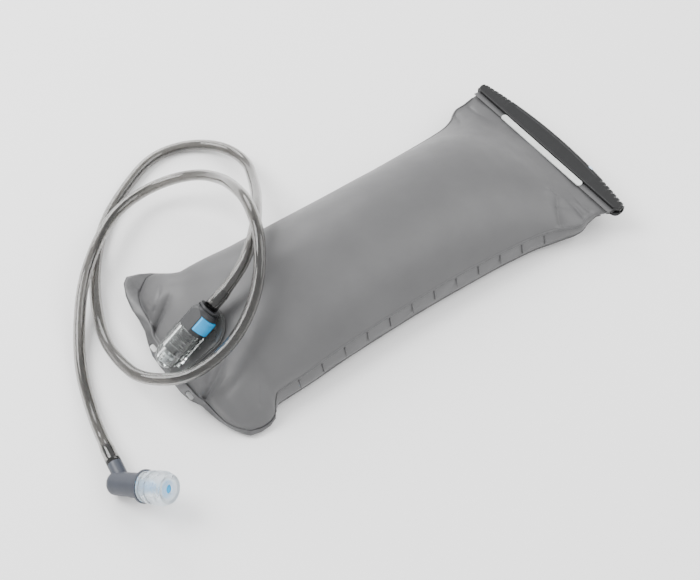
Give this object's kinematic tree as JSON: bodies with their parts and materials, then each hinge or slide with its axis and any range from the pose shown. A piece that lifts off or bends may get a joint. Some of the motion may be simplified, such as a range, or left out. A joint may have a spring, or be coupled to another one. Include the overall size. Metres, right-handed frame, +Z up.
{
  "type": "hydration bladder",
  "caption": "Pillow-shaped film water bladder with slide-on top closure, angled quick-release drain port, looped drinking hose and twist-lock bite valve.",
  "frame": {"origin": "on the flat underside of the bag, under its crown, where it rests on the floor", "axes": "+X from the port end to the closure, +Y across the bag away from the release button, +Z up from the floor on which the bag lies on its back"},
  "size_m": [0.4938, 0.3227, 0.1033],
  "materials": {
    "film": "satin, softly mottled polyurethane film",
    "film_fold": "satin polyurethane film, creased",
    "white_strip": "satin",
    "closure_plastic": "fine moulded texture",
    "smoke_plastic": "smoke-tinted translucent moulding",
    "clear_plastic": "clear moulding",
    "poppet_plastic": "moulded",
    "spring_steel": "drawn wire",
    "seal_rubber": "smooth",
    "plug_plastic": "satin moulding",
    "latch_steel": "stamped",
    "blue_plastic": "satin moulding",
    "hose_tpu": "smooth translucent grey tube",
    "elbow_plastic": "satin moulding",
    "blue_core": "smooth",
    "clear_silicone": "clear moulded silicone"
  },
  "bodies": {
    "reservoir": {"front_panel": "film", "back_panel": "film", "left_gusset": "film", "right_gusset": "film", "bottom_weld": "film", "folded_top": "film_fold", "front_stiffener": "white_strip", "fold_stiffener": "white_strip", "port_plate": "smoke_plastic", "port_body": "clear_plastic", "seat_seal": "seal_rubber", "poppet_spring": "spring_steel"},
    "closure": {"slide_closure": "closure_plastic"},
    "plug": {"plug_stem": "plug_plastic", "plug_housing": "plug_plastic", "plug_o_rings": "seal_rubber", "button_spring": "spring_steel", "drinking_hose": "hose_tpu", "valve_elbow": "elbow_plastic", "elbow_o_ring": "seal_rubber"},
    "button": {"release_button": "blue_plastic", "latch_plate": "latch_steel"},
    "poppet": {"port_poppet": "poppet_plastic"},
    "valve": {"valve_collar": "elbow_plastic", "valve_core": "blue_core", "bite_sheath": "clear_silicone"}
  },
  "joints": [
    {"name": "closure_slide", "type": "slide", "parent": "reservoir", "child": "closure", "axis": [0, 1, 0], "range_m": [0, 0.19]},
    {"name": "plug_pull", "type": "slide", "parent": "reservoir", "child": "plug", "axis": [0.8192, 0, 0.5735], "range_m": [0, 0.03]},
    {"name": "button_press", "type": "slide", "parent": "plug", "child": "button", "axis": [0, 1, 0], "range_m": [0, 0.0016], "stiffness_N_per_m": 900, "springref_m": -0.0015},
    {"name": "poppet_slide", "type": "slide", "parent": "reservoir", "child": "poppet", "axis": [0.8192, 0, 0.5735], "range_m": [0, 0.003]},
    {"name": "valve_twist", "type": "hinge", "parent": "plug", "child": "valve", "pos_m": [-0.28182, -0.06582, 0.01266], "axis": [0.4589, -0.7637, 0.454], "range_deg": [0, 90]}
  ],
  "couplings": [
    {"joint": "poppet_slide", "follows": "plug_pull", "ratio": 0.1}
  ]
}
